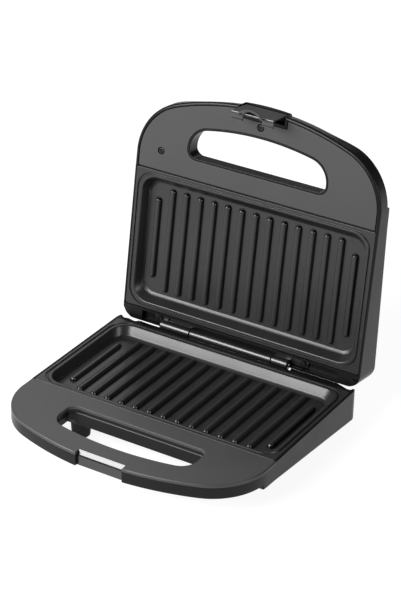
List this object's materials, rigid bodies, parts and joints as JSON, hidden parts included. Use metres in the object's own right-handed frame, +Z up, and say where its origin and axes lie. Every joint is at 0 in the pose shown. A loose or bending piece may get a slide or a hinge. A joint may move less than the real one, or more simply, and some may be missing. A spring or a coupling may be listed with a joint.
{
  "type": "sandwich toaster",
  "caption": "Hinged countertop sandwich toaster standing open, with two ribbed non-stick grill plates, D-shaped grips and a swinging front latch.",
  "frame": {"origin": "centre of the bounding box's bottom, with the feet on z = 0 and the lid open", "axes": "+X to the right seen from the front, -Y to the front where the grips are, +Z up"},
  "size_m": [0.234, 0.2538, 0.2509],
  "materials": {
    "black_plastic": "satin moulded phenolic",
    "grey_plastic": "matt moulded panel",
    "plate_coating": "non-stick coating on cast aluminium",
    "sheet_steel": "plain mill finish",
    "plated_steel": "bright zinc plating",
    "foot_rubber": "matt",
    "pale_nylon": "natural nylon",
    "bakelite": "pressed phenolic",
    "board": "paper-phenolic board",
    "lamp_glass": "clear neon lamp glass",
    "red_lens": "tinted clear",
    "green_lens": "tinted clear"
  },
  "bodies": {
    "base": {"lower_casing": "black_plastic", "handle_cover": "black_plastic", "lower_grill_plate": "plate_coating", "lower_heater": "sheet_steel", "lower_heater_clamps": "sheet_steel", "lower_heat_shield": "sheet_steel", "lower_shield_screws": "plated_steel", "lower_plate_screws": "plated_steel", "handle_cover_screws": "plated_steel", "front_feet": "foot_rubber", "rear_feet": "foot_rubber", "hinge_bracket": "black_plastic", "hinge_pin": "plated_steel", "hinge_bracket_screws": "plated_steel", "cable_gland": "black_plastic", "terminal_block": "pale_nylon", "earth_tag": "sheet_steel"},
    "lid": {"upper_casing": "black_plastic", "lid_panel": "grey_plastic", "upper_grill_plate": "plate_coating", "upper_heater": "sheet_steel", "upper_heater_clamps": "sheet_steel", "upper_heat_shield": "sheet_steel", "upper_shield_screws": "plated_steel", "upper_plate_screws": "plated_steel", "lid_panel_screws": "plated_steel", "hinge_ear_left": "black_plastic", "hinge_ear_right": "black_plastic", "hinge_ear_screws": "plated_steel", "thermostat": "bakelite", "thermal_fuse": "plated_steel", "lamp_board": "board", "lamp_board_screws": "plated_steel", "power_lamp": "lamp_glass", "ready_lamp": "lamp_glass", "power_lens": "red_lens", "ready_lens": "green_lens", "latch_pin": "plated_steel"},
    "latch_arm": {"latch": "black_plastic"}
  },
  "joints": [
    {"name": "lid_hinge", "type": "hinge", "parent": "base", "child": "lid", "pos_m": [0, 0.08518, 0.033], "axis": [1, 0, 0], "range_deg": [0, 97.6]},
    {"name": "latch_hinge", "type": "hinge", "parent": "lid", "child": "latch_arm", "pos_m": [0, 0.12019, 0.23797], "axis": [1, 0, 0], "range_deg": [-28, 0]}
  ]
}
